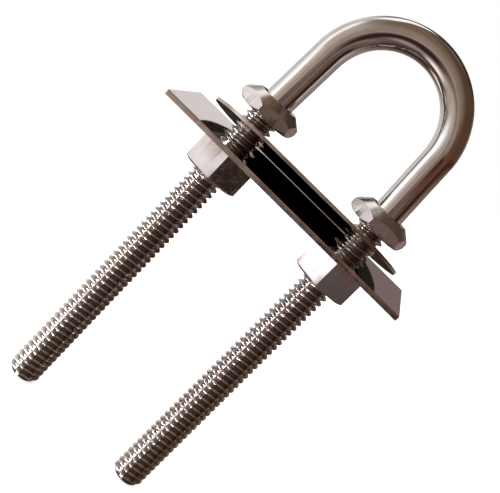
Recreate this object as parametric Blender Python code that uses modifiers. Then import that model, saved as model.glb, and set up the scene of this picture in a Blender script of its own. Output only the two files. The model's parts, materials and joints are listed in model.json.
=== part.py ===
"""Bow eye (U-bolt pad eye): a bent rod with two threaded legs, two plates and four nuts.

Frame: metres, +Z up along the legs towards the bow, +X from the left leg to the right
leg. The origin is halfway between the legs, on top of the backing plate.
"""

import math

import bmesh
import bpy
from mathutils import Vector

MM = 0.001

# Driving dimensions: the 1/4-20 thread sets the scale of everything else.
THREAD_DIAMETER = 6.35 * MM
THREAD_PITCH = 1.27 * MM
ROD_DIAMETER = 5.8 * MM
LEG_SPACING = 27.5 * MM
LEG_LENGTH = 60.2 * MM
THREAD_TOP = 9.6 * MM
BOW_CENTRE_HEIGHT = 21.3 * MM
BOW_LEAN = math.radians(3)

PLATE_WIDTH = 26.5 * MM
PLATE_HOLE_DIAMETER = 7.4 * MM
BACKING_THICKNESS = 1.0 * MM
BACKING_LENGTH = 53.5 * MM
BACKING_SHIFT = 0.35 * MM
DECK_THICKNESS = 0.6 * MM
DECK_LENGTH = 44.0 * MM
DECK_TILT = math.radians(10.7)
DECK_GAP = 0.02 * MM

NUT_WIDTH = 11.1 * MM
FULL_NUT_HEIGHT = 6.4 * MM
JAM_NUT_HEIGHT = 3.7 * MM
NUT_BORE_DIAMETER = THREAD_DIAMETER + 0.3 * MM
NUT_GAP = 0.3 * MM
JAM_NUT_BASE = {"left": 6.5 * MM, "right": 5.95 * MM}
FULL_NUT_TURN = {"left": math.radians(8), "right": math.radians(-3.5)}
JAM_NUT_TURN = {"left": math.radians(-8), "right": math.radians(-14)}
NUT_CHAMFER = math.radians(30)
JAM_NUT_CHAMFER = math.radians(40)
# How far the flat of each nut face reaches, as a share of the distance to the hexagon's sides.
FULL_NUT_FACE_SHARE = 1.0
JAM_NUT_TOP_SHARE = 0.74
JAM_NUT_BASE_SHARE = 0.98

# Thread form: a 60 degree V cut short at the root.
THREAD_DEPTH = 0.54 * THREAD_PITCH
THREAD_END_CHAMFER = 0.9 * MM
RUN_OUT = 0.5 * MM
ENVELOPE_MARGIN = 0.1 * MM

TURN_STEPS = 12
ROD_STEPS = 20
BOW_STEPS = 28
HOLE_STEPS = 36
CHAMFER_STEPS = 48
END_STEPS = 24
WELD = 0.01 * MM
ROD_SHARP_ANGLE = math.radians(35)
NUT_SHARP_ANGLE = math.radians(20)

SIDES = {"left": -1, "right": 1}


def clear_scene():
    for obj in list(bpy.data.objects):
        bpy.data.objects.remove(obj)


def new_collection(name):
    collection = bpy.data.collections.new(name)
    bpy.context.scene.collection.children.link(collection)
    return collection


def steel(name, colour, roughness):
    material = bpy.data.materials.new(name)
    material.use_nodes = True
    shader = material.node_tree.nodes["Principled BSDF"]
    shader.inputs["Base Color"].default_value = (*colour, 1)
    shader.inputs["Metallic"].default_value = 1
    shader.inputs["Roughness"].default_value = roughness
    return material


def rod_steel():
    return steel("polished_rod_steel", (0.62, 0.59, 0.57), 0.16)


def plate_steel():
    return steel("mirror_plate_steel", (0.66, 0.64, 0.63), 0.1)


def nut_steel():
    return steel("satin_nut_steel", (0.58, 0.56, 0.55), 0.24)


def mesh_object(name, bm, collection):
    bmesh.ops.recalc_face_normals(bm, faces=bm.faces)
    mesh = bpy.data.meshes.new(name)
    bm.to_mesh(mesh)
    bm.free()
    obj = bpy.data.objects.new(name, mesh)
    collection.objects.link(obj)
    return obj


def hide_tool(obj):
    obj.hide_render = True
    obj.display_type = "WIRE"


def shade_round(obj, angle):
    obj.data.shade_smooth()
    obj.data.set_sharp_from_angle(angle=angle)


def add_boolean(obj, other, operation):
    modifier = obj.modifiers.new(f"{operation.lower()}_{other.name}", "BOOLEAN")
    modifier.operation = operation
    modifier.solver = "EXACT"
    modifier.object = other


def turned(name, profile, steps, collection):
    """A closed solid of revolution about Z from (radius, height) points, top to bottom."""
    mesh = bpy.data.meshes.new(name)
    points = [(radius, 0, height) for radius, height in profile]
    mesh.from_pydata(points, [(i, i + 1) for i in range(len(points) - 1)], [])
    obj = bpy.data.objects.new(name, mesh)
    collection.objects.link(obj)
    screw = obj.modifiers.new("turn", "SCREW")
    screw.axis = "Z"
    screw.steps = steps
    screw.render_steps = steps
    screw.use_merge_vertices = True
    screw.merge_threshold = WELD
    return obj


def polar_point(angle, radius, height):
    return Vector((radius * math.cos(angle), radius * math.sin(angle), height))


def helical_solid(name, bottom, top, collection):
    """A right-hand V thread about Z, at least from bottom to top, with flat-fanned ends."""
    crest_radius = THREAD_DIAMETER / 2
    root_radius = crest_radius - THREAD_DEPTH
    turns = math.ceil((top - bottom) / THREAD_PITCH)
    bm = bmesh.new()
    roots = []
    crests = []
    for k in range((turns + 1) * TURN_STEPS + 1):
        angle = math.tau * k / TURN_STEPS
        height = bottom + THREAD_PITCH * (k / TURN_STEPS - 1)
        roots.append(bm.verts.new(polar_point(angle, root_radius, height)))
        if k <= turns * TURN_STEPS:
            crests.append(bm.verts.new(polar_point(angle, crest_radius, height + THREAD_PITCH / 2)))
    for k in range(turns * TURN_STEPS):
        above = k + TURN_STEPS
        bm.faces.new((roots[k], roots[k + 1], crests[k + 1], crests[k]))
        bm.faces.new((crests[k], crests[k + 1], roots[above + 1], roots[above]))
    last = turns * TURN_STEPS
    cap_end(bm, bottom, roots[: TURN_STEPS + 1], crests[0])
    cap_end(bm, top, roots[last:], crests[last])
    return mesh_object(name, bm, collection)


def cap_end(bm, height, ring, crest):
    """Close one end of a thread: a fan over its last turn of root, and the step between them."""
    middle = bm.verts.new((0, 0, height))
    for start, end in zip(ring, ring[1:]):
        bm.faces.new((middle, start, end))
    bm.faces.new((middle, ring[0], crest, ring[-1]))


def threaded_leg(side, tools):
    """A tool shaped like one threaded leg: the thread, cut to length by a chamfered envelope."""
    bottom = -LEG_LENGTH
    outside = THREAD_DIAMETER / 2 + ENVELOPE_MARGIN
    tip = THREAD_DIAMETER / 2 - THREAD_END_CHAMFER
    leg = helical_solid(f"{side}_thread", bottom, THREAD_TOP, tools)
    envelope = turned(
        f"{side}_thread_envelope",
        (
            (0, THREAD_TOP),
            (ROD_DIAMETER / 2 - ENVELOPE_MARGIN, THREAD_TOP),
            (outside, THREAD_TOP - RUN_OUT),
            (outside, bottom + THREAD_END_CHAMFER),
            (tip, bottom),
            (0, bottom),
        ),
        HOLE_STEPS,
        tools,
    )
    add_boolean(leg, envelope, "INTERSECT")
    for tool in (leg, envelope):
        tool.location.x = SIDES[side] * LEG_SPACING / 2
        hide_tool(tool)
    return leg


def bow_path():
    """Centreline points of the smooth bow in the XZ plane, from the left leg to the right."""
    lean_start = THREAD_TOP - 2 * RUN_OUT
    half = LEG_SPACING / 2
    radius = math.cos(BOW_LEAN) * (half - math.tan(BOW_LEAN) * (BOW_CENTRE_HEIGHT - lean_start))
    sweep = math.pi - 2 * BOW_LEAN
    arc = []
    for k in range(BOW_STEPS + 1):
        angle = math.pi - BOW_LEAN - sweep * k / BOW_STEPS
        arc.append((radius * math.cos(angle), 0, BOW_CENTRE_HEIGHT + radius * math.sin(angle)))
    foot = lean_start - THREAD_PITCH
    return [(-half, 0, foot), (-half, 0, lean_start), *arc, (half, 0, lean_start), (half, 0, foot)]


def curve_solid(name, curve, loops, closed, collection):
    """The closed mesh that a curve with a poly spline for each loop of points encloses."""
    for points in loops:
        spline = curve.splines.new("POLY")
        spline.points.add(len(points) - 1)
        for point, place in zip(spline.points, points):
            point.co = (*place, 1)
        spline.use_cyclic_u = closed
    guide = bpy.data.objects.new(f"{name}_guide", curve)
    collection.objects.link(guide)
    graph = bpy.context.evaluated_depsgraph_get()
    mesh = bpy.data.meshes.new_from_object(guide.evaluated_get(graph))
    bpy.data.objects.remove(guide)
    bm = bmesh.new()
    bm.from_mesh(mesh)
    bmesh.ops.remove_doubles(bm, verts=bm.verts, dist=WELD)
    return mesh_object(name, bm, collection)


def round_bar(name, points, diameter, collection):
    curve = bpy.data.curves.new(name, "CURVE")
    curve.dimensions = "3D"
    curve.bevel_depth = diameter / 2
    curve.bevel_resolution = ROD_STEPS // 4 - 1
    curve.use_fill_caps = True
    return curve_solid(name, curve, [points], False, collection)


def make_u_bolt(parts, tools, material):
    bolt = round_bar("u_bolt", bow_path(), ROD_DIAMETER, parts)
    for side in SIDES:
        add_boolean(bolt, threaded_leg(side, tools), "UNION")
    shade_round(bolt, ROD_SHARP_ANGLE)
    bolt.data.materials.append(material)


def drill(name, diameter, depth, tools):
    """A cutter about its own centre, long enough to pass right through a piece."""
    bm = bmesh.new()
    bmesh.ops.create_cone(
        bm,
        cap_ends=True,
        segments=HOLE_STEPS,
        radius1=diameter / 2,
        radius2=diameter / 2,
        depth=3 * depth,
    )
    cutter = mesh_object(name, bm, tools)
    hide_tool(cutter)
    return cutter


def oval_outline(length, width):
    """Corner points of a half-round-ended oval about the origin, anticlockwise."""
    points = []
    for end in (1, -1):
        for k in range(END_STEPS + 1):
            angle = math.pi * (k / END_STEPS - end / 2)
            centre_x = end * (length - width) / 2
            points.append((centre_x + width / 2 * math.cos(angle), width / 2 * math.sin(angle), 0))
    return points


def square_outline(length, width):
    """Corner points of a rectangle about the origin, anticlockwise."""
    corners = ((-1, -1), (1, -1), (1, 1), (-1, 1))
    return [(x * length / 2, y * width / 2, 0) for x, y in corners]


def circle(centre_x, diameter):
    points = []
    for k in range(HOLE_STEPS):
        angle = math.tau * k / HOLE_STEPS
        point = (centre_x + diameter / 2 * math.cos(angle), diameter / 2 * math.sin(angle), 0)
        points.append(point)
    return points


def make_plate(name, outline, thickness, shift, parts, material):
    """A flat plate about its own centre, its clearance holes shifted along it."""
    curve = bpy.data.curves.new(name, "CURVE")
    curve.dimensions = "2D"
    curve.fill_mode = "BOTH"
    curve.extrude = thickness / 2
    holes = [circle(shift + sign * LEG_SPACING / 2, PLATE_HOLE_DIAMETER) for sign in SIDES.values()]
    plate = curve_solid(name, curve, [outline, *holes], True, parts)
    plate.data.materials.append(material)
    return plate


def make_plates(parts, material):
    outline = square_outline(BACKING_LENGTH, PLATE_WIDTH)
    backing = make_plate(
        "backing_plate", outline, BACKING_THICKNESS, BACKING_SHIFT, parts, material
    )
    backing.location = (-BACKING_SHIFT, 0, -BACKING_THICKNESS / 2)
    outline = oval_outline(DECK_LENGTH, PLATE_WIDTH)
    deck = make_plate("deck_plate", outline, DECK_THICKNESS, 0, parts, material)
    deck.rotation_euler.x = -DECK_TILT
    hinge = Vector((0, PLATE_WIDTH / 2, -DECK_THICKNESS / 2))
    hinge_place = Vector((0, PLATE_WIDTH / 2 * math.cos(DECK_TILT), DECK_GAP))
    deck.location = hinge_place - deck.rotation_euler.to_matrix() @ hinge


def nut_chamfer(name, height, top_share, base_share, slope, tools):
    """The turned blank that a nut is cut from, coned at both ends, about its own centre."""
    reach = NUT_WIDTH / math.sqrt(3) + ENVELOPE_MARGIN
    profile = [(0, height / 2 + ENVELOPE_MARGIN)]
    for end, share in ((1, top_share), (-1, base_share)):
        face_radius = share * NUT_WIDTH / 2
        end_radius = face_radius - ENVELOPE_MARGIN / math.tan(slope)
        shoulder = height / 2 - (reach - face_radius) * math.tan(slope)
        cone = [(end_radius, end * (height / 2 + ENVELOPE_MARGIN)), (reach, end * shoulder)]
        profile += cone[::end]
    profile.append((0, -height / 2 - ENVELOPE_MARGIN))
    return turned(name, profile, CHAMFER_STEPS, tools)


def make_nut(name, height, blank, parts, tools, material):
    """A hexagon nut centred on its own origin, a corner facing -Y, cut from a turned blank."""
    bm = bmesh.new()
    bmesh.ops.create_cone(
        bm,
        cap_ends=True,
        segments=6,
        radius1=NUT_WIDTH / math.sqrt(3),
        radius2=NUT_WIDTH / math.sqrt(3),
        depth=height,
    )
    nut = mesh_object(name, bm, parts)
    hide_tool(blank)
    add_boolean(nut, blank, "INTERSECT")
    bore = drill(f"{name}_bore", NUT_BORE_DIAMETER, height, tools)
    add_boolean(nut, bore, "DIFFERENCE")
    for tool in (blank, bore):
        tool.parent = nut
    shade_round(nut, NUT_SHARP_ANGLE)
    nut.data.materials.append(material)
    return nut


def make_full_nut(side, parts, tools, material):
    """A full-height nut under the backing plate, alike on both faces."""
    name = f"lower_nut_{side}"
    height = FULL_NUT_HEIGHT
    share = FULL_NUT_FACE_SHARE
    blank = nut_chamfer(f"{name}_chamfer", height, share, share, NUT_CHAMFER, tools)
    nut = make_nut(name, height, blank, parts, tools, material)
    nut.location = (SIDES[side] * LEG_SPACING / 2, 0, -BACKING_THICKNESS - NUT_GAP - height / 2)
    nut.rotation_euler.z = FULL_NUT_TURN[side]


def make_jam_nut(side, parts, tools, material):
    """A thin nut at the top of the thread, coned deeply on its upper face."""
    name = f"upper_nut_{side}"
    height = JAM_NUT_HEIGHT
    shares = (JAM_NUT_TOP_SHARE, JAM_NUT_BASE_SHARE)
    blank = nut_chamfer(f"{name}_chamfer", height, *shares, JAM_NUT_CHAMFER, tools)
    nut = make_nut(name, height, blank, parts, tools, material)
    nut.location = (SIDES[side] * LEG_SPACING / 2, 0, JAM_NUT_BASE[side] + height / 2)
    nut.rotation_euler.z = JAM_NUT_TURN[side]


def main():
    clear_scene()
    parts = new_collection("bow_eye")
    tools = new_collection("cutters")
    tools.hide_render = True
    make_u_bolt(parts, tools, rod_steel())
    make_plates(parts, plate_steel())
    satin = nut_steel()
    for side in SIDES:
        make_full_nut(side, parts, tools, satin)
        make_jam_nut(side, parts, tools, satin)


main()
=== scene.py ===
"""Looks for the bow eye: fine threads, polished bar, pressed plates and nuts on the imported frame.

Metres, +Z up along the legs towards the bow. The frame gives the places, the plates' sizes, the
nuts' heights and the bar's ends. Bar, holes, nut widths and nut turns repeat the CAD's numbers. The
thread's depth and crests, the roundings, the nuts' cones, the camera and the studio were matched
to the photo. The bow and both legs stand in for the node u_bolt, each plate and nut for its own.
"""

import json
import math

import bmesh
import bpy
from mathutils import Matrix, Vector


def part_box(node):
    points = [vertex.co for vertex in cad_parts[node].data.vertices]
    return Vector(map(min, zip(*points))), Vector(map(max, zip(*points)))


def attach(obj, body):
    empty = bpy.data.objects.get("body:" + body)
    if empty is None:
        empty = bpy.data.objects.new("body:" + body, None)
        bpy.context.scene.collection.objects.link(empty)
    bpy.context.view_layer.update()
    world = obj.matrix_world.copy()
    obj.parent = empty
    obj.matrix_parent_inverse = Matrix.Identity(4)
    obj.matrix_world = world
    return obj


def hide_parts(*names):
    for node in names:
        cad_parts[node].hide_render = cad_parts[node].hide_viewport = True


MM = 0.001
TEN_MICRON = 0.01 * MM

# Edges bent by more than this are shaded as sharp.
THREAD_CREASE = math.radians(50)
PLATE_CREASE = math.radians(40)
NUT_CREASE = math.radians(25)

# Thread, taken as 1/4-20 UNC. Its flank angle is measured from the leg's axis.
PITCH = 1.27 * MM
THREAD_RADIUS = 3.175 * MM
THREAD_DEPTH = 0.58 * PITCH
THREAD_STEPS = 48
FLANK_ANGLE = math.radians(60)
# Roundings of a crest and of a groove's bottom, in pitches.
CREST_ROUND = 0.02
ROOT_ROUND = 0.08
# Half of a crest's flat, in pitches.
CREST_HALF = 0.025
# Distances from a crest, in pitches, at which the groove's shape is sampled on each side.
GROOVE_SAMPLES = (0.0, 0.03, 0.07, 0.18, 0.29, 0.35, 0.42, 0.5)
END_CHAMFER = 0.9 * MM
RUN_OUT = 0.5 * MM
# How far round each leg the thread is turned, as a share of a turn.
THREAD_PHASE = {"left": 0.0, "right": 0.88}
# The thread ends this far under the top of the right jam nut.
THREAD_TOP_DROP = 0.05 * MM
# Points closer than this are one point.
MERGE_DISTANCE = 0.001 * MM

ROD_RADIUS = 2.9 * MM
BOW_LEAN = math.radians(3)
BOW_STEPS = 180
ROD_SIDES = 64

PLATE_HOLE_RADIUS = 3.7 * MM
HOLE_STEPS = 72
PLATE_EDGE_ROUND = 0.1 * MM
PLATE_CORNER_RADIUS = 0.3 * MM
PLATE_CORNER_STEPS = 4
DECK_EDGE_ROUND = 0.06 * MM
DECK_END_STEPS = 48
EDGE_STEPS = 5

NUT_ACROSS_FLATS = 11.1 * MM
NUT_CLEARANCE = 0.06 * MM
NUT_BORE_RADIUS = THREAD_RADIUS + NUT_CLEARANCE
NUT_COUNTERSINK = 0.35 * MM
NUT_CORNER_ROUND = {"lower": 0.38 * MM, "upper": 0.12 * MM}
NUT_SIDE_STEPS = 14
NUT_ROUND_STEPS = 5
# Cone angle, the flat of the face as a share of the hexagon, and the rim's rounding.
NUT_FACES = {
    "lower": {1: (math.radians(30), 1.0, 0.15 * MM), -1: (math.radians(30), 1.0, 0.45 * MM)},
    "upper": {1: (math.radians(40), 0.74, 0.1 * MM), -1: (math.radians(40), 0.98, 0.12 * MM)},
}
NUT_TURN = {
    "lower_nut_left": math.radians(8),
    "lower_nut_right": math.radians(-3.5),
    "upper_nut_left": math.radians(-8),
    "upper_nut_right": math.radians(-14),
}

# The camera, fitted to the photo's outlines; its lens and sensor in millimetres.
CAMERA_PLACE = Vector((5.368, -179.417, 24.947)) * MM
CAMERA_AZIMUTH = math.radians(1.572)
CAMERA_PITCH = math.radians(-11.607)
CAMERA_ROLL = math.radians(44.41)
CAMERA_LENS = 73.6
CAMERA_SENSOR = 36

FLOOR_RADIUS = 6.0
FLOOR_GRAIN_SCALE = 900.0
FLOOR_TONES = (0.93, 0.97)
FLOOR_GLOW = 0.4
OVERHEAD_STRENGTH = 0.35
OVERHEAD_WIDTH = math.radians(60)
OVERHEAD_TILT = (math.radians(12), math.radians(-18), 0)
GLINT_COLOUR = (1.0, 0.98, 0.96)

SIDES = {"left": -1, "right": 1}

# Noise frequencies of the steel and of the threads' painted groove shade, per metre.
SMUDGE_SCALE = 160.0
HAZE_SCALE = 620.0
# The painted groove shade on the threads is mottled at this frequency.
GROOVE_SHADE_SCALE = 900.0
# What a hazy patch's colour is multiplied by, and the largest share of it that shows.
HAZE_DARKENING = 0.82
HAZE_SHARE = 0.35
# Wear on an edge: what its colour is multiplied by, the share of it that shows, added roughness.
WEAR_BRIGHTENING = 1.16
WEAR_SHARE = 0.6
WEAR_ROUGHNESS = 0.07
# The crest of a thread that the painted groove shade leaves bare, as a share of its depth.
UNSHADED_CREST = 0.15

# The dim room's colour straight down, then where each band above it begins and is full, as the
# height of a view's unit vector, and that band's colour.
ROOM_BOTTOM = (0.114, 0.08, 0.06, 1)
ROOM_BANDS = (
    (-0.85, -0.3, (0.26, 0.19, 0.18, 1)),
    (-0.15, 0.1, (0.24, 0.17, 0.13, 1)),
    (0.5, 0.95, (0.195, 0.13, 0.09, 1)),
)

# Softboxes and dark cards on the sky that the steel reflects, the later over the earlier:
# label, colour, azimuth, elevation, half width, half height, lean and softness in degrees.
SKY_CARDS = (
    ("white wall behind, left", (0.74, 0.69, 0.67), -141, 6, 50, 38, -26, 41),
    ("front softbox, left", (1.25, 1.2, 1.23), -41, -16, 39, 18, -7, 19),
    ("dim edge above the front softbox", (0.32, 0.24, 0.19), -21, 11, 23, 24, -44, 37),
    ("grey band over the left softboxes", (0.57, 0.48, 0.41), -69, 19, 36, 6, -19, 45),
    ("grey band under the front softbox", (0.52, 0.4, 0.33), -22, -29, 36, 3, 40, 45),
    ("dark card, right, high", (0.1, 0.055, 0.033), 92, 33, 60, 42, 60, 36),
    ("dark slot, right, level", (0.08, 0.02, 0.01), 72, 4, 60, 3, 3, 8),
    ("dark card in front, low", (0.043, 0.016, 0.018), 10, -21, 19, 18, -9, 15),
    ("grey card in front, lower", (0.4, 0.31, 0.29), 17, -40, 6, 12, -9, 17),
    ("narrow grey card, right", (0.54, 0.4, 0.37), 105, -12, 8, 10, 23, 11),
    ("grey card behind, right, low", (0.3, 0.235, 0.22), 149, -12, 34, 13, 8, 6),
    ("grey card behind, right, high", (0.4, 0.35, 0.29), 164, 37, 5, 29, -4, 35),
    ("tall softbox, left", (1.35, 1.27, 1.27), -85, 14, 12, 22, 15, 21),
    ("small softbox near the floor, left", (1.3, 1.12, 1.08), -20, -58, 12, 6, 60, 21),
    ("brown card, front right", (0.15, 0.06, 0.04), 48, 4, 23, 8, -23, 10),
    ("dim slot, left, high", (0.26, 0.21, 0.16), -107, 49, 31, 3, -16, 30),
    ("dim card behind, right", (0.2, 0.15, 0.14), 168, 8, 13, 15, 0, 8),
    ("bright panel, left", (2.1, 1.98, 2.0), -66, -10, 7, 10, 0, 5),
    ("dark card, right, low", (0.025, 0.017, 0.013), 72, -10, 9, 12, 0, 6),
    ("grey card, front right, low", (0.13, 0.108, 0.105), 54, -14, 7, 9, 0, 6),
    ("dark card behind, high", (0.05, 0.04, 0.03), 180, 44, 30, 22, 0, 10),
    ("dark card behind, middle", (0.03, 0.024, 0.018), 178, 26, 16, 14, 0, 4),
    ("high softbox behind, left", (1.3, 1.25, 1.2), -132, 50, 20, 10, 0, 8),
)

# A card fades out while the cosine to its middle falls from FULL_FACING to 0, so it never shows on
# the far side. LEAST_FACING is the smallest cosine that anything is divided by.
LEAST_FACING = 0.05
FULL_FACING = 0.2
# Limits in degrees for the half width of a card's full part and of its faded edge.
NARROWEST_CARD = 0.5
WIDEST_CARD = 85

# Lamps that only the threads catch: name, azimuth, elevation and width in degrees, brightness.
GLINTS = (
    ("crest_line", -66, -15, 14, 30),
    ("root_dots", -24, -56, 22, 42),
    ("flank_comb", -88, 17, 22, 42),
)


# ---------------------------------------------------------------- node helpers


class Nodes:
    """A thin wrapper that adds shader nodes and links them in one line each."""

    def __init__(self, tree):
        self.tree = tree

    def add(self, kind, **settings):
        node = self.tree.nodes.new(kind)
        for key, value in settings.items():
            setattr(node, key, value)
        return node

    def link(self, source, target):
        self.tree.links.new(source, target)

    def feed(self, socket, value):
        """Plug in a socket, or set a plain value."""
        if isinstance(value, bpy.types.NodeSocket):
            self.link(value, socket)
        else:
            socket.default_value = value

    def math(self, operation, a, b=0.0):
        node = self.add("ShaderNodeMath", operation=operation)
        self.feed(node.inputs[0], a)
        self.feed(node.inputs[1], b)
        return node.outputs[0]

    def vector(self, operation, a, b):
        node = self.add("ShaderNodeVectorMath", operation=operation)
        self.feed(node.inputs[0], a)
        self.feed(node.inputs[1], b)
        return node.outputs["Value" if operation in ("DOT_PRODUCT", "LENGTH") else "Vector"]

    def span(self, value, low, high, to_low=0.0, to_high=1.0):
        """to_low up to where value is low, to_high from where it is high, smooth between."""
        node = self.add("ShaderNodeMapRange")
        node.interpolation_type = "SMOOTHSTEP"
        for socket, number in zip(node.inputs, (value, low, high, to_low, to_high)):
            self.feed(socket, number)
        return node.outputs[0]

    def mix(self, share, a, b):
        node = self.add("ShaderNodeMix", data_type="RGBA")
        self.feed(node.inputs[0], share)
        self.feed(node.inputs[6], a)
        self.feed(node.inputs[7], b)
        return node.outputs[2]

    def noise(self, place, scale, detail=3.0, roughness=0.5):
        node = self.add("ShaderNodeTexNoise")
        self.feed(node.inputs["Vector"], place)
        node.inputs["Scale"].default_value = scale
        node.inputs["Detail"].default_value = detail
        node.inputs["Roughness"].default_value = roughness
        return node.outputs["Fac"]


def grey(value):
    return (value, value, value, 1.0)


def edge_wear(n, radius):
    """1 on sharp edges and crests, 0 on flats; radius 0 reads the mesh's own sharpness instead."""
    geometry = n.add("ShaderNodeNewGeometry")
    if radius == 0:
        return n.span(geometry.outputs["Pointiness"], 0.52, 0.6)
    rounded = n.add("ShaderNodeBevel", samples=4)
    rounded.inputs["Radius"].default_value = radius
    return n.span(n.vector("DOT_PRODUCT", rounded.outputs[0], geometry.outputs["Normal"]), 0.985, 0.9)


def steel(name, light, dark, roughness, grain, stretch, bump, wear_radius):
    """Stainless steel: smudged tint, uneven polish, fine grain and brighter worn edges.

    grain is the grain's frequency in lines per metre and stretch its drawn-out direction.
    """
    material = bpy.data.materials.new(name)
    material.use_nodes = True
    n = Nodes(material.node_tree)
    shader = material.node_tree.nodes["Principled BSDF"]
    shader.inputs["Metallic"].default_value = 1.0
    place = n.add("ShaderNodeTexCoord").outputs["Object"]

    smudge = n.noise(place, SMUDGE_SCALE, 4.0, 0.6)
    haze = n.noise(place, HAZE_SCALE, 5.0, 0.65)
    grained = n.vector("MULTIPLY", place, stretch)
    lines = n.noise(grained, grain, 3.0, 0.55)

    colour = n.mix(n.span(smudge, 0.35, 0.68), (*dark, 1.0), (*light, 1.0))
    darker = tuple(HAZE_DARKENING * c for c in dark)
    colour = n.mix(n.span(haze, 0.62, 0.8, 0.0, HAZE_SHARE), colour, (*darker, 1.0))

    worn = n.math("MULTIPLY", edge_wear(n, wear_radius), n.span(haze, 0.3, 0.6, 0.45, 1.0))
    bright = tuple(min(1.0, WEAR_BRIGHTENING * c) for c in light)
    colour = n.mix(n.math("MULTIPLY", worn, WEAR_SHARE), colour, (*bright, 1.0))
    n.link(colour, shader.inputs["Base Color"])

    uneven = n.span(haze, 0.3, 0.75, 0.75 * roughness, 1.5 * roughness)
    streaked = n.math("MULTIPLY", n.span(lines, 0.3, 0.7, 0.85, 1.2), uneven)
    rough = n.math("ADD", streaked, n.math("MULTIPLY", worn, WEAR_ROUGHNESS))
    n.link(rough, shader.inputs["Roughness"])

    raised = n.add("ShaderNodeBump")
    raised.inputs["Strength"].default_value = bump
    raised.inputs["Distance"].default_value = TEN_MICRON
    n.link(lines, raised.inputs["Height"])
    n.link(raised.outputs[0], shader.inputs["Normal"])
    return material


def bar_steel():
    """Mirror-polished bar with faint drawing marks."""
    return steel(
        "polished_bar",
        light=(0.8, 0.79, 0.775),
        dark=(0.7, 0.69, 0.675),
        roughness=0.05,
        grain=1500.0,
        stretch=(1, 1, 0.3),
        bump=0.08,
        wear_radius=0.1 * MM,
    )


def plate_face_steel():
    """Mirror-finished sheet with a faint cloudiness."""
    return steel(
        "mirror_sheet",
        light=(0.78, 0.765, 0.76),
        dark=(0.69, 0.675, 0.675),
        roughness=0.05,
        grain=2200.0,
        stretch=(0.25, 1, 1),
        bump=0.02,
        wear_radius=0.15 * MM,
    )


def plate_edge_steel():
    """The sheared edge of the sheet: short streaks across the thickness."""
    return steel(
        "sheared_edge",
        light=(0.74, 0.68, 0.64),
        dark=(0.42, 0.36, 0.33),
        roughness=0.26,
        grain=2600.0,
        stretch=(1, 1, 0.12),
        bump=0.9,
        wear_radius=0.12 * MM,
    )


def nut_steel():
    """Cold-formed nut, tumbled to a satin polish."""
    return steel(
        "satin_nut",
        light=(0.78, 0.76, 0.755),
        dark=(0.62, 0.59, 0.58),
        roughness=0.19,
        grain=3800.0,
        stretch=(1, 1, 0.5),
        bump=0.35,
        wear_radius=0.22 * MM,
    )


def thread_steel():
    """Rolled thread: bright crests above grooves darkened with painted shade, mottled by noise."""
    material = steel(
        "rolled_thread",
        light=(0.86, 0.84, 0.82),
        dark=(0.76, 0.73, 0.71),
        roughness=0.08,
        grain=2600.0,
        stretch=(0.3, 0.3, 1),
        bump=0.08,
        wear_radius=0.0,
    )
    n = Nodes(material.node_tree)
    shader = material.node_tree.nodes["Principled BSDF"]
    own_colour = shader.inputs["Base Color"].links[0].from_socket
    place = n.add("ShaderNodeTexCoord").outputs["Object"]
    radial = n.vector("MULTIPLY", place, (1, 1, 0))
    out = n.vector("LENGTH", radial, (0, 0, 0))
    # Painted shade: the thread's grooves are darkened from below the crest down to the root.
    unshaded_from = THREAD_RADIUS - UNSHADED_CREST * THREAD_DEPTH
    groove = n.span(out, THREAD_RADIUS - THREAD_DEPTH, unshaded_from, 1.0, 0.0)
    groove_shade_colour = n.mix(n.noise(place, GROOVE_SHADE_SCALE), (0.19, 0.16, 0.145, 1.0), (0.34, 0.3, 0.28, 1.0))
    n.link(n.mix(groove, own_colour, groove_shade_colour), shader.inputs["Base Color"])
    return material


# ---------------------------------------------------------------- mesh helpers


def piece(name, bm, materials, sharp):
    """A finished mesh object; sharp is the crease angle of its shading."""
    bmesh.ops.recalc_face_normals(bm, faces=bm.faces)
    mesh = bpy.data.meshes.new(name)
    bm.to_mesh(mesh)
    bm.free()
    for material in materials:
        mesh.materials.append(material)
    mesh.shade_smooth()
    mesh.set_sharp_from_angle(angle=sharp)
    obj = bpy.data.objects.new(name, mesh)
    bpy.context.scene.collection.objects.link(obj)
    return obj


def join_rings(bm, rings, closed=False):
    """Quads between neighbouring rings of vertices, each ring closed on itself."""
    pairs = list(zip(rings, rings[1:]))
    if closed:
        pairs.append((rings[-1], rings[0]))
    for ring, following in pairs:
        count = len(ring)
        for i in range(count):
            j = (i + 1) % count
            bm.faces.new((ring[i], ring[j], following[j], following[i]))


def leg_axis(side):
    """X of a leg's axis: the middle of the nut on it."""
    low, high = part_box(f"lower_nut_{side}")
    return (low[0] + high[0]) / 2


# ---------------------------------------------------------------- threaded legs


def soft_floor(value, rounding):
    """value where it is positive and 0 where it is negative, with a rounded corner."""
    return (value + math.sqrt(value * value + rounding * rounding)) / 2


def groove_depth(distance):
    """Depth below the crest at a distance from it; both in pitches."""
    flank = (distance - CREST_HALF) * math.tan(FLANK_ANGLE)
    full = THREAD_DEPTH / PITCH
    return full - soft_floor(full - soft_floor(flank, CREST_ROUND), ROOT_ROUND)


def thread_profile():
    """(height, depth) samples over one pitch from crest to crest, in pitches."""
    rising = [(d, groove_depth(d)) for d in GROOVE_SAMPLES]
    falling = [(1 - d, depth) for d, depth in reversed(rising[1:-1])]
    return rising + falling


def leg_envelope(height, bottom, top):
    """Largest radius that the end chamfer and the run-out leave at a height."""
    chamfer = THREAD_RADIUS - END_CHAMFER + max(0.0, height - bottom)
    run_out = THREAD_RADIUS - (THREAD_RADIUS - ROD_RADIUS) * (height - top + RUN_OUT) / RUN_OUT
    return min(THREAD_RADIUS, chamfer, run_out)


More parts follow.
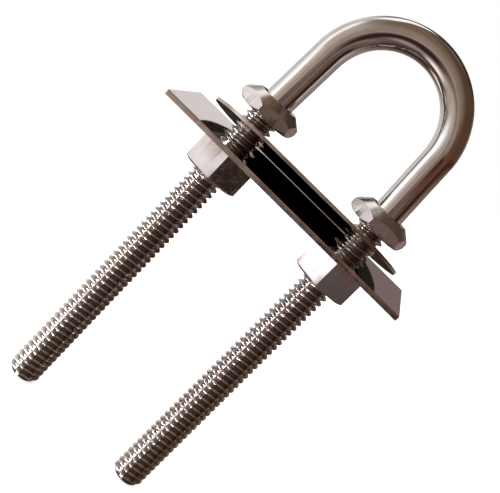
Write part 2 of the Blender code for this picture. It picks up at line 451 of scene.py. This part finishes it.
def threaded_leg(side, bottom, top, material):
    """One threaded leg as a fine right-hand helix, chamfered at its free end."""
    profile = thread_profile()
    rows_per_pitch = len(profile)
    turns = math.ceil((top - bottom) / PITCH) + 2
    rows = turns * rows_per_pitch
    bm = bmesh.new()
    columns = []
    for step in range(THREAD_STEPS):
        angle = math.tau * step / THREAD_STEPS
        lift = bottom + PITCH * (step / THREAD_STEPS - 1 - THREAD_PHASE[side])
        column = []
        for row in range(rows):
            share, depth = profile[row % rows_per_pitch]
            height = lift + PITCH * (row // rows_per_pitch + share)
            height = min(max(height, bottom), top)
            radius = min(THREAD_RADIUS - PITCH * depth, leg_envelope(height, bottom, top))
            if height <= bottom:
                radius = THREAD_RADIUS - END_CHAMFER
            if height >= top:
                radius = THREAD_RADIUS - THREAD_DEPTH
            spot = (radius * math.cos(angle), radius * math.sin(angle), height)
            column.append(bm.verts.new(spot))
        columns.append(column)
    for step in range(THREAD_STEPS):
        last = step == THREAD_STEPS - 1
        here = columns[step]
        beside = columns[0] if last else columns[step + 1]
        shift = rows_per_pitch if last else 0
        for row in range(rows - 1 - shift):
            ring = (here[row], beside[row + shift], beside[row + shift + 1], here[row + 1])
            bm.faces.new(ring)
    bmesh.ops.remove_doubles(bm, verts=bm.verts, dist=MERGE_DISTANCE)
    bmesh.ops.holes_fill(bm, edges=[e for e in bm.edges if e.is_boundary], sides=0)
    leg = piece(f"threaded_leg_{side}", bm, [material], THREAD_CREASE)
    leg.location.x = leg_axis(side)
    return leg


# ---------------------------------------------------------------- bow


def bow_centreline(foot, start, top):
    """Points along the bow's centreline, left foot to right foot."""
    half = leg_axis("right")
    rise = top - ROD_RADIUS
    # The arc touches both leaning sides, so its radius and its centre follow from the apex.
    slope = math.tan(BOW_LEAN)
    radius = (half - slope * (rise - start)) / (1 / math.cos(BOW_LEAN) - slope)
    centre = rise - radius
    sweep = math.pi - 2 * BOW_LEAN
    points = [Vector((-half, 0, foot)), Vector((-half, 0, start))]
    for k in range(BOW_STEPS + 1):
        angle = math.pi - BOW_LEAN - sweep * k / BOW_STEPS
        points.append(Vector((radius * math.cos(angle), 0, centre + radius * math.sin(angle))))
    points += [Vector((half, 0, start)), Vector((half, 0, foot))]
    return points


def bow(material):
    """The smooth bar above the threads, swept along its centreline."""
    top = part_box("u_bolt")[1][2]
    nut_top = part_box("upper_nut_right")[1][2]
    start = nut_top - PITCH / 2
    points = bow_centreline(nut_top - PITCH, start, top)
    bm = bmesh.new()
    rings = []
    for index, point in enumerate(points):
        before = points[max(0, index - 1)]
        after = points[min(len(points) - 1, index + 1)]
        along = (after - before).normalized()
        front = Vector((0, -1, 0))
        across = along.cross(front)
        ring = []
        for k in range(ROD_SIDES):
            angle = math.tau * k / ROD_SIDES
            offset = front * math.cos(angle) + across * math.sin(angle)
            ring.append(bm.verts.new(point + offset * ROD_RADIUS))
        rings.append(ring)
    join_rings(bm, rings)
    bm.faces.new(rings[0])
    bm.faces.new(list(reversed(rings[-1])))
    return piece("bow", bm, [material], THREAD_CREASE)


# ---------------------------------------------------------------- plates


def rounded_outline(length, width, radius):
    """Corner points of a rounded rectangle about the origin, anticlockwise."""
    points = []
    for corner in range(4):
        centre_x = (length / 2 - radius) * (1 if corner in (0, 3) else -1)
        centre_y = (width / 2 - radius) * (1 if corner in (0, 1) else -1)
        for k in range(PLATE_CORNER_STEPS + 1):
            angle = math.pi / 2 * (corner + k / PLATE_CORNER_STEPS)
            points.append((centre_x + radius * math.cos(angle), centre_y + radius * math.sin(angle)))
    return points


def circle(x, radius):
    angles = (math.tau * k / HOLE_STEPS for k in range(HOLE_STEPS))
    return [(x + radius * math.cos(a), radius * math.sin(a)) for a in angles]


def oval_outline(length, width):
    """Corner points of a half-round-ended oval about the origin, anticlockwise."""
    points = []
    for end in (1, -1):
        for k in range(DECK_END_STEPS + 1):
            angle = math.pi * (k / DECK_END_STEPS - end / 2)
            centre_x = end * (length - width) / 2
            points.append((centre_x + width / 2 * math.cos(angle), width / 2 * math.sin(angle)))
    return points


def edge_profile(thickness, rounding):
    """(inset, height) points down a sheet's edge, rounded at the top and at the bottom."""
    points = []
    for end in (1, -1):
        corner = []
        for k in range(EDGE_STEPS + 1):
            angle = math.pi / 2 * k / EDGE_STEPS
            inset = rounding * (1 - math.sin(angle))
            corner.append((inset, end * (thickness / 2 - rounding * (1 - math.cos(angle)))))
        points += corner[::end]
    return points


def plate(name, outline, hole_places, profile, materials):
    """A sheet about its own centre, with round holes and rounded edges.

    outline(inset) gives the corner points of the sheet drawn in by inset.
    """
    bm = bmesh.new()
    flats = ([], [])
    for loop in (outline, *(hole_outline(x) for x in hole_places)):
        rings = []
        for inset, height in profile:
            rings.append([bm.verts.new((x, y, height)) for x, y in loop(inset)])
        join_rings(bm, rings)
        for flat, ring in zip(flats, (rings[0], rings[-1])):
            flat += [bm.edges.get((a, b)) for a, b in zip(ring, ring[1:] + ring[:1])]
    for face in bm.faces:
        face.material_index = 1
    for flat in flats:
        bmesh.ops.triangle_fill(bm, use_beauty=True, edges=flat)
    obj = piece(name, bm, materials, PLATE_CREASE)
    for face in obj.data.polygons:
        face.use_smooth = face.material_index == 1
    return obj


def hole_outline(x):
    """The outline function of a round hole; an inset widens the hole."""
    return lambda inset: circle(x, PLATE_HOLE_RADIUS + inset)


def backing_plate(materials):
    low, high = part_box("backing_plate")
    middle = [(a + b) / 2 for a, b in zip(low, high)]
    length = high[0] - low[0]
    width = high[1] - low[1]
    holes = [leg_axis(side) - middle[0] for side in SIDES]

    def outline(inset):
        return rounded_outline(length - 2 * inset, width - 2 * inset, PLATE_CORNER_RADIUS - inset)

    profile = edge_profile(high[2] - low[2], PLATE_EDGE_ROUND)
    obj = plate("backing_sheet", outline, holes, profile, materials)
    obj.location = middle
    return obj


def deck_plate(materials):
    """The tilted plate: its angle is the deck_seat mount's, its place the CAD node's middle."""
    record = frame["record"]
    seat = next(m for m in record["mounts"] if m["name"] == "deck_seat")
    normal = -Vector(seat["axis"])
    tilt = math.atan2(normal.y, normal.z)
    low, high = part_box("deck_plate")
    middle = [(a + b) / 2 for a, b in zip(low, high)]
    length, reach, rise = (b - a for a, b in zip(low, high))
    # The tilted sheet's reach and rise each mix its width and its thickness.
    sine = math.sin(tilt)
    cosine = math.cos(tilt)
    width = (reach * cosine - rise * sine) / math.cos(2 * tilt)
    thickness = (rise * cosine - reach * sine) / math.cos(2 * tilt)
    holes = [leg_axis(side) - middle[0] for side in SIDES]

    def outline(inset):
        return oval_outline(length - 2 * inset, width - 2 * inset)

    profile = edge_profile(thickness, DECK_EDGE_ROUND)
    obj = plate("deck_sheet", outline, holes, profile, materials)
    obj.location = middle
    obj.rotation_euler.x = -tilt
    return obj


# ---------------------------------------------------------------- nuts


def hex_radius(angle):
    """Distance from a hexagon's middle to its side at an angle from one of its corners."""
    from_flat = (angle % (math.pi / 3)) - math.pi / 6
    return NUT_ACROSS_FLATS / 2 / math.cos(from_flat)


def nut_rim(outer, half, end, face):
    """(radius, height) points from a nut's side round its rim to the flat of one face."""
    slope, share, rounding = face
    flat = share * NUT_ACROSS_FLATS / 2
    points = []
    for k in range(NUT_ROUND_STEPS + 1):
        angle = math.pi / 2 * k / NUT_ROUND_STEPS
        inset = rounding * (1 - math.cos(angle))
        radius = outer * (1 - 2 * inset / NUT_ACROSS_FLATS)
        drop = max(rounding * (1 - math.sin(angle)), (radius - flat) * math.tan(slope))
        points.append((radius, end * (half - drop)))
    points.append((min(radius - TEN_MICRON, flat), end * half))
    return points


def nut(node, material):
    """A hexagon nut with rounded and coned faces and a countersunk bore."""
    low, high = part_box(node)
    half = (high[2] - low[2]) / 2
    level = node.split("_")[0]
    faces = NUT_FACES[level]
    mouth = NUT_BORE_RADIUS + NUT_COUNTERSINK
    count = 6 * NUT_SIDE_STEPS
    bm = bmesh.new()
    columns = []
    for k in range(count):
        angle = math.tau * k / count
        outer = hex_radius(angle)
        section = [
            (NUT_BORE_RADIUS, half - NUT_COUNTERSINK),
            (mouth, half),
            *reversed(nut_rim(outer, half, 1, faces[1])),
            *nut_rim(outer, half, -1, faces[-1]),
            (mouth, -half),
            (NUT_BORE_RADIUS, NUT_COUNTERSINK - half),
        ]
        # A corner faces -Y before the nut is turned.
        around = angle - math.pi / 2
        spots = [(r * math.cos(around), r * math.sin(around), z) for r, z in section]
        columns.append([bm.verts.new(spot) for spot in spots])
    join_rings(bm, [list(ring) for ring in zip(*columns)], closed=True)
    obj = piece(f"{node}_body", bm, [material], NUT_CREASE)
    obj.location = ((low[0] + high[0]) / 2, (low[1] + high[1]) / 2, (low[2] + high[2]) / 2)
    obj.rotation_euler.z = NUT_TURN[node]
    corners = obj.modifiers.new("rounded_corners", "BEVEL")
    corners.width = NUT_CORNER_ROUND[level]
    corners.segments = 3
    corners.limit_method = "ANGLE"
    corners.angle_limit = 2 * NUT_CREASE
    corners.harden_normals = True
    return obj


# ---------------------------------------------------------------- studio


def direction(azimuth, elevation):
    """Unit vector; azimuth is measured from -Y towards +X, both in degrees."""
    a = math.radians(azimuth)
    e = math.radians(elevation)
    return Vector((math.sin(a) * math.cos(e), -math.cos(a) * math.cos(e), math.sin(e)))


def glow(n, view, azimuth, elevation, half_width, half_height, lean, soft):
    """How much a soft-edged rectangle on the sky covers a direction; its sizes in degrees."""
    middle = direction(azimuth, elevation)
    side = Vector((0, 0, 1)).cross(middle).normalized()
    up = middle.cross(side)
    turn = Matrix.Rotation(math.radians(lean), 3, middle)
    side = turn @ side
    up = turn @ up
    facing = n.vector("DOT_PRODUCT", view, tuple(middle))
    front = n.math("MAXIMUM", facing, LEAST_FACING)
    share = n.span(facing, 0.0, FULL_FACING)
    for axis, half in ((side, half_width), (up, half_height)):
        reach = n.math("DIVIDE", n.math("ABSOLUTE", n.vector("DOT_PRODUCT", view, tuple(axis))), front)
        inner = math.tan(math.radians(max(half - soft / 2, NARROWEST_CARD)))
        outer = math.tan(math.radians(min(half + soft / 2, WIDEST_CARD)))
        share = n.math("MULTIPLY", share, n.span(reach, inner, outer, 1.0, 0.0))
    return share


def studio_sky():
    """White for the camera; for reflections, a dim room with softboxes to the left."""
    world = bpy.data.worlds.new("studio")
    bpy.context.scene.world = world
    world.use_nodes = True
    tree = world.node_tree
    tree.nodes.clear()
    n = Nodes(tree)
    view = n.add("ShaderNodeTexCoord").outputs["Generated"]
    height = n.vector("DOT_PRODUCT", view, (0, 0, 1))
    room = ROOM_BOTTOM
    for low, high, colour in ROOM_BANDS:
        room = n.mix(n.span(height, low, high), room, colour)
    for _, colour, *shape in SKY_CARDS:
        room = n.mix(glow(n, view, *shape), room, (*colour, 1.0))
    path = n.add("ShaderNodeLightPath")
    seen = n.math("MAXIMUM", path.outputs["Is Camera Ray"], path.outputs["Is Diffuse Ray"])
    background = n.add("ShaderNodeBackground")
    n.link(n.mix(seen, room, grey(1.0)), background.inputs["Color"])
    n.link(background.outputs[0], n.add("ShaderNodeOutputWorld").inputs["Surface"])


def pale_floor():
    """A pale floor under the legs; the steel reflects the studio and not the floor."""
    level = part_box("u_bolt")[0][2]
    bm = bmesh.new()
    bmesh.ops.create_circle(bm, cap_ends=True, segments=96, radius=FLOOR_RADIUS)
    mesh = bpy.data.meshes.new("floor")
    bm.to_mesh(mesh)
    bm.free()
    floor = bpy.data.objects.new("floor", mesh)
    floor.location.z = level
    bpy.context.scene.collection.objects.link(floor)
    material = bpy.data.materials.new("pale_paper")
    material.use_nodes = True
    n = Nodes(material.node_tree)
    shader = material.node_tree.nodes["Principled BSDF"]
    place = n.add("ShaderNodeTexCoord").outputs["Object"]
    tone = n.span(n.noise(place, FLOOR_GRAIN_SCALE), 0.3, 0.7, *FLOOR_TONES)
    n.link(n.mix(tone, grey(0.0), grey(1.0)), shader.inputs["Base Color"])
    shader.inputs["Roughness"].default_value = 0.9
    shader.inputs["Specular IOR Level"].default_value = 0.0
    shader.inputs["Emission Color"].default_value = grey(1.0)
    shader.inputs["Emission Strength"].default_value = FLOOR_GLOW
    mesh.materials.append(material)
    floor.visible_glossy = False


def overhead_light():
    """A broad soft lamp for the floor; hidden from reflections."""
    light = bpy.data.lights.new("overhead", "SUN")
    light.energy = OVERHEAD_STRENGTH
    light.angle = OVERHEAD_WIDTH
    lamp = bpy.data.objects.new("overhead", light)
    lamp.rotation_euler = OVERHEAD_TILT
    lamp.visible_glossy = False
    bpy.context.scene.collection.objects.link(lamp)


def thread_glints(threads):
    """Small bright lamps that only the threads catch; they draw lines and dots along one side."""
    receivers = bpy.data.collections.new("glint_receivers")
    for thread in threads:
        receivers.objects.link(thread)
    for name, azimuth, elevation, width, brightness in GLINTS:
        light = bpy.data.lights.new(name, "SUN")
        light.angle = math.radians(width)
        # A sun's strength is its brightness times the patch of sky that it fills.
        light.energy = brightness * math.pi * math.sin(light.angle / 2) ** 2
        light.color = GLINT_COLOUR
        light.use_shadow = False
        lamp = bpy.data.objects.new(name, light)
        lamp.rotation_euler = direction(azimuth, elevation).to_track_quat("Z", "Y").to_euler()
        lamp.light_linking.receiver_collection = receivers
        bpy.context.scene.collection.objects.link(lamp)


def camera():
    data = bpy.data.cameras.new("camera")
    data.lens = CAMERA_LENS
    data.sensor_width = CAMERA_SENSOR
    data.clip_start = 1 * MM
    obj = bpy.data.objects.new("camera", data)
    turn = (
        Matrix.Rotation(CAMERA_AZIMUTH, 4, "Z")
        @ Matrix.Rotation(math.pi / 2 + CAMERA_PITCH, 4, "X")
        @ Matrix.Rotation(CAMERA_ROLL, 4, "Z")
    )
    obj.matrix_world = Matrix.Translation(CAMERA_PLACE) @ turn
    bpy.context.scene.collection.objects.link(obj)
    bpy.context.scene.camera = obj


# ---------------------------------------------------------------- assembly


def build_bar():
    thread_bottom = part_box("u_bolt")[0][2]
    thread_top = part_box("upper_nut_right")[1][2] - THREAD_TOP_DROP
    thread = thread_steel()
    pieces = [bow(bar_steel())]
    for side in SIDES:
        pieces.append(threaded_leg(side, thread_bottom, thread_top, thread))
    for part in pieces:
        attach(part, "u_bolt")
    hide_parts("u_bolt")
    thread_glints(pieces[1:])


def build_plates():
    materials = [plate_face_steel(), plate_edge_steel()]
    for node, part in (("backing_plate", backing_plate(materials)), ("deck_plate", deck_plate(materials))):
        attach(part, node)
        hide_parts(node)


def build_nuts():
    material = nut_steel()
    for node in NUT_TURN:
        part = nut(node, material)
        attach(part, node)
        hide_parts(node)


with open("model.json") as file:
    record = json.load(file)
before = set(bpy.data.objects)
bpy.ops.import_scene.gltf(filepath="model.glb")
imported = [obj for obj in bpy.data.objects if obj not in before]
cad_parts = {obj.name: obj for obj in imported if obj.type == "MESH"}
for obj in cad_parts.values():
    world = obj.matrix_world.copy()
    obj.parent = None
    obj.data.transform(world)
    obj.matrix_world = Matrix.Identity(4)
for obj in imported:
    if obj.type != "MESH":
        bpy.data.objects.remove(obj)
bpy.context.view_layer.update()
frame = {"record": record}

build_bar()
build_plates()
build_nuts()
studio_sky()
pale_floor()
overhead_light()
camera()
bpy.context.scene.view_settings.view_transform = "Standard"
